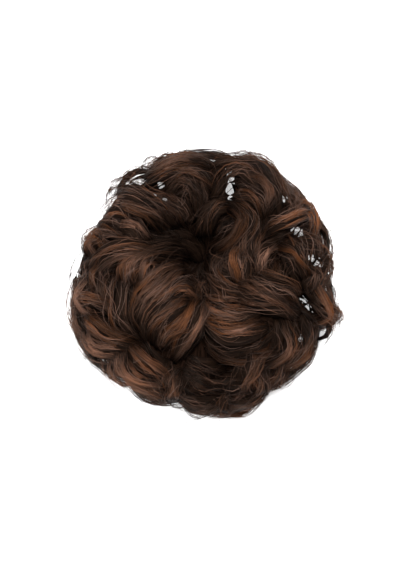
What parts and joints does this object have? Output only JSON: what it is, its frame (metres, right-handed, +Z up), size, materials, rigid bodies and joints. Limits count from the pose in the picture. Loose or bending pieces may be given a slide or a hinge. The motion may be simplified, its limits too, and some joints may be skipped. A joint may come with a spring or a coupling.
{
  "type": "top knot hairpiece",
  "caption": "Round messy-bun hairpiece: long wavy locks swirled and looped on a sewn backing round an elastic band, hollow underneath for the wearer's own knot.",
  "frame": {"origin": "middle of the outline on the surface that the hairpiece lies on", "axes": "+Z up out of the face of the bun, away from the band; +Y towards the loop of hair above the pit"},
  "size_m": [0.1508, 0.1462, 0.0538],
  "materials": {
    "hair": "dark brown synthetic hair with auburn strands, soft satin sheen",
    "elastic": "matt black braided elastic"
  },
  "bodies": {
    "root": {"hair_locks": "hair", "elastic_band": "elastic"}
  },
  "joints": []
}
